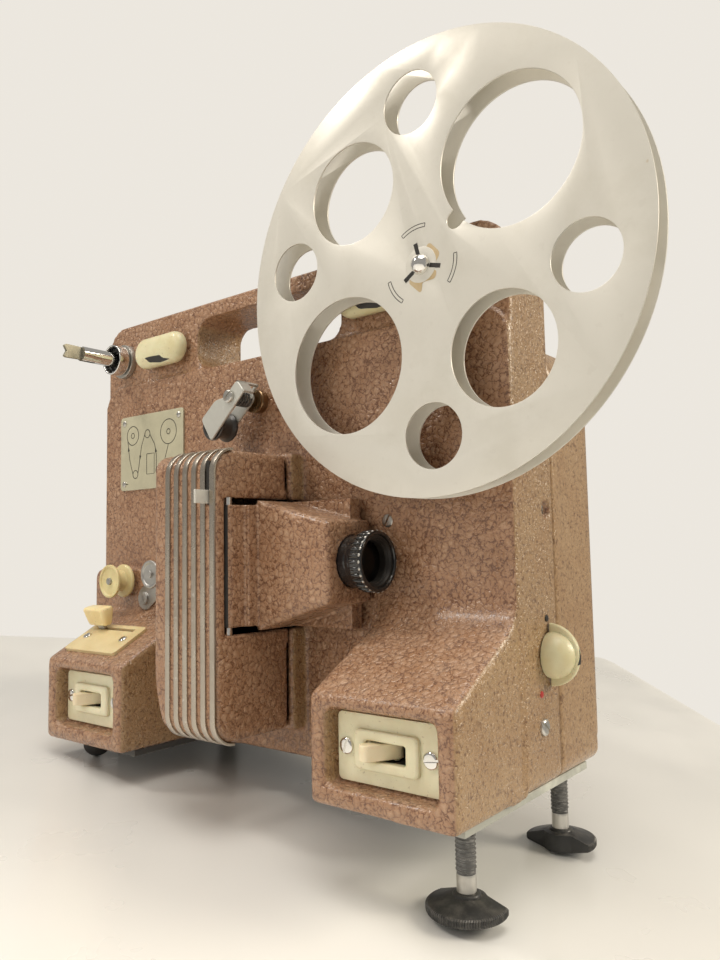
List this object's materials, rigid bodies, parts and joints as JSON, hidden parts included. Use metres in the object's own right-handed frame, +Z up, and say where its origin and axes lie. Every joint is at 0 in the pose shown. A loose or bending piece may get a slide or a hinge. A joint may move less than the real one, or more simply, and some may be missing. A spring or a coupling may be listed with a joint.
{
  "type": "movie projector",
  "caption": "Table-top film projector with a cast body, carrying handle, lamp house, hinged lens gate, film reel, switch boxes and levelling feet.",
  "frame": {"origin": "centre of the bounding box in plan, on the surface that the projector stands on", "axes": "+X the way the lens points, +Y to the rear cover, +Z up; the body is tipped nose-up on its feet"},
  "size_m": [0.3194, 0.138, 0.3212],
  "materials": {
    "hammertone": "hammered enamel",
    "grey_metal": "satin",
    "trim": "satin",
    "reel": "satin, worn",
    "steel": "turned",
    "bush": "turned",
    "ivory": "moulded",
    "cream": "moulded",
    "plate": "printed",
    "dots": "gloss",
    "black": "black enamel",
    "dark_plastic": "moulded",
    "rubber": "moulded",
    "glass": "clear",
    "machine": "lacquered"
  },
  "bodies": {
    "body": {"front_casting": "hammertone", "rear_cover": "hammertone", "base_plate": "grey_metal", "lamp_house": "hammertone", "lamp_house_trim": "trim", "diagram_plate": "plate", "switch_plate_left": "cream", "switch_plate_right": "cream", "switch_bodies": "dark_plastic", "speed_plate": "ivory", "speed_rail": "steel", "index_dots": "dots", "spindle_bushes": "bush", "hinge_pins": "steel", "aperture_plate": "grey_metal", "guide_post": "steel", "guide_spring": "steel", "lower_guide": "grey_metal", "foot_bushes": "steel", "rubber_feet": "rubber", "screws": "steel", "motor": "machine", "drive_belts": "rubber", "mechanism_frame": "grey_metal", "lamp": "glass", "supply": "machine"},
    "reel": {"reel_front_flange": "reel", "reel_back_flange": "reel", "reel_core": "reel", "reel_spindle": "steel"},
    "takeup": {"takeup_spindle": "steel", "takeup_pulley": "steel"},
    "takeup_tip": {"spindle_tip": "steel"},
    "framing": {"framing_tab": "steel"},
    "gate": {"lens_gate": "hammertone"},
    "lens": {"lens_barrel": "black", "lens_glass": "glass"},
    "focus": {"focus_ring": "black"},
    "pressure": {"pressure_plate": "grey_metal"},
    "guide": {"guide_arm": "grey_metal"},
    "guide_wheel": {"guide_roller": "dark_plastic"},
    "ivory_wheel": {"ivory_roller": "ivory"},
    "lower_wheel": {"lower_roller": "dark_plastic"},
    "oval_left": {"oval_knob_left": "ivory", "oval_shaft_left": "steel"},
    "oval_right": {"oval_knob_right": "ivory", "oval_shaft_right": "steel"},
    "side_control": {"side_knob": "ivory", "side_knob_shaft": "steel"},
    "switch_left": {"toggle_left": "cream"},
    "switch_right": {"toggle_right": "cream"},
    "speed": {"speed_lever": "steel", "speed_lever_knob": "ivory"},
    "front_foot_ring": {"foot_stop_front": "steel"},
    "front_foot": {"foot_front": "black"},
    "rear_foot_ring": {"foot_stop_rear": "steel"},
    "rear_foot": {"foot_rear": "black"},
    "motor_shaft": {"motor_rotor": "steel"},
    "drive_shaft": {"main_shaft": "steel"},
    "shutter_wheel": {"shutter": "black"}
  },
  "joints": [
    {"name": "reel_turn", "type": "hinge", "parent": "body", "child": "reel", "pos_m": [0.07068, -0.029, 0.23219], "axis": [0, 1, 0], "continuous": true},
    {"name": "takeup_turn", "type": "hinge", "parent": "body", "child": "takeup", "pos_m": [-0.14248, -0.019, 0.20409], "axis": [0, 1, 0], "continuous": true},
    {"name": "tip_fold", "type": "hinge", "parent": "takeup", "child": "takeup_tip", "pos_m": [-0.14248, -0.034, 0.20409], "axis": [0.9914, 0, 0.1307], "range_deg": [0, 90]},
    {"name": "framing_slide", "type": "slide", "parent": "body", "child": "framing", "axis": [-0.1307, 0, 0.9914], "range_m": [0, 0.0117]},
    {"name": "gate_swing", "type": "hinge", "parent": "body", "child": "gate", "pos_m": [0.003, -0.0525, 0.10979], "axis": [0.1307, 0, -0.9914], "range_deg": [0, 90]},
    {"name": "focus_slide", "type": "slide", "parent": "gate", "child": "lens", "axis": [0.9914, 0, 0.1307], "range_m": [-0.003, 0.003]},
    {"name": "focus_turn", "type": "hinge", "parent": "lens", "child": "focus", "pos_m": [0.05911, -0.024, 0.11719], "axis": [0.9914, 0, 0.1307], "range_deg": [-180, 180]},
    {"name": "pressure_slide", "type": "slide", "parent": "gate", "child": "pressure", "axis": [0.9914, 0, 0.1307], "range_m": [0, 0.001], "stiffness_N_per_m": 300, "springref_m": -0.002},
    {"name": "guide_swing", "type": "hinge", "parent": "body", "child": "guide", "pos_m": [-0.02908, -0.024, 0.18172], "axis": [0, 1, 0], "range_deg": [-6, 16], "stiffness_Nm_per_rad": 0.05},
    {"name": "guide_roll", "type": "hinge", "parent": "guide", "child": "guide_wheel", "pos_m": [-0.041, -0.024, 0.16824], "axis": [0, 1, 0], "continuous": true},
    {"name": "ivory_roll", "type": "hinge", "parent": "body", "child": "ivory_wheel", "pos_m": [-0.11259, -0.024, 0.08447], "axis": [0, 1, 0], "continuous": true},
    {"name": "lower_roll", "type": "hinge", "parent": "body", "child": "lower_wheel", "pos_m": [-0.0791, -0.024, 0.09285], "axis": [0, 1, 0], "continuous": true},
    {"name": "oval_left_turn", "type": "hinge", "parent": "body", "child": "oval_left", "pos_m": [-0.10629, -0.011, 0.20886], "axis": [0, 1, 0], "range_deg": [0, 90]},
    {"name": "oval_right_turn", "type": "hinge", "parent": "body", "child": "oval_right", "pos_m": [0.03648, -0.011, 0.22768], "axis": [0, 1, 0], "range_deg": [0, 90]},
    {"name": "side_turn", "type": "hinge", "parent": "body", "child": "side_control", "pos_m": [0.11649, 0.014, 0.08743], "axis": [0.9914, 0, 0.1307], "range_deg": [-40, 40]},
    {"name": "switch_left_throw", "type": "hinge", "parent": "body", "child": "switch_left", "pos_m": [-0.08557, -0.0451, 0.03256], "axis": [-0.1307, 0, 0.9914], "range_deg": [0, 64]},
    {"name": "switch_right_throw", "type": "hinge", "parent": "body", "child": "switch_right", "pos_m": [0.08942, -0.0451, 0.05562], "axis": [-0.1307, 0, 0.9914], "range_deg": [0, 64]},
    {"name": "speed_slide", "type": "slide", "parent": "body", "child": "speed", "axis": [0.9914, 0, 0.1307], "range_m": [0, 0.024]},
    {"name": "front_foot_rise", "type": "slide", "parent": "body", "child": "front_foot_ring", "axis": [-0.1307, 0, 0.9914], "range_m": [-0.005, 0.005]},
    {"name": "front_foot_turn", "type": "hinge", "parent": "front_foot_ring", "child": "front_foot", "pos_m": [0.10901, -0.029, 0.03703], "axis": [-0.1307, 0, 0.9914], "range_deg": [-1440, 1440]},
    {"name": "rear_foot_rise", "type": "slide", "parent": "body", "child": "rear_foot_ring", "axis": [-0.1307, 0, 0.9914], "range_m": [-0.005, 0.005]},
    {"name": "rear_foot_turn", "type": "hinge", "parent": "rear_foot_ring", "child": "rear_foot", "pos_m": [0.10901, 0.048, 0.03703], "axis": [-0.1307, 0, 0.9914], "range_deg": [-1440, 1440]},
    {"name": "motor_turn", "type": "hinge", "parent": "body", "child": "motor_shaft", "pos_m": [-0.07326, 0.03, 0.06545], "axis": [0, 1, 0], "continuous": true},
    {"name": "drive_turn", "type": "hinge", "parent": "body", "child": "drive_shaft", "pos_m": [-0.0392, 0.004, 0.12844], "axis": [0, 1, 0], "continuous": true},
    {"name": "shutter_turn", "type": "hinge", "parent": "body", "child": "shutter_wheel", "pos_m": [0.00012, 0.004, 0.10942], "axis": [0.9914, 0, 0.1307], "continuous": true}
  ],
  "couplings": [
    {"joint": "takeup_turn", "follows": "motor_turn", "ratio": 0.83333},
    {"joint": "drive_turn", "follows": "motor_turn", "ratio": 0.53571},
    {"joint": "shutter_turn", "follows": "motor_turn", "ratio": 0.75893},
    {"joint": "focus_turn", "follows": "focus_slide", "rad_per_m": 1047.2},
    {"joint": "front_foot_turn", "follows": "front_foot_rise", "rad_per_m": 5026.5},
    {"joint": "rear_foot_turn", "follows": "rear_foot_rise", "rad_per_m": 5026.5}
  ]
}
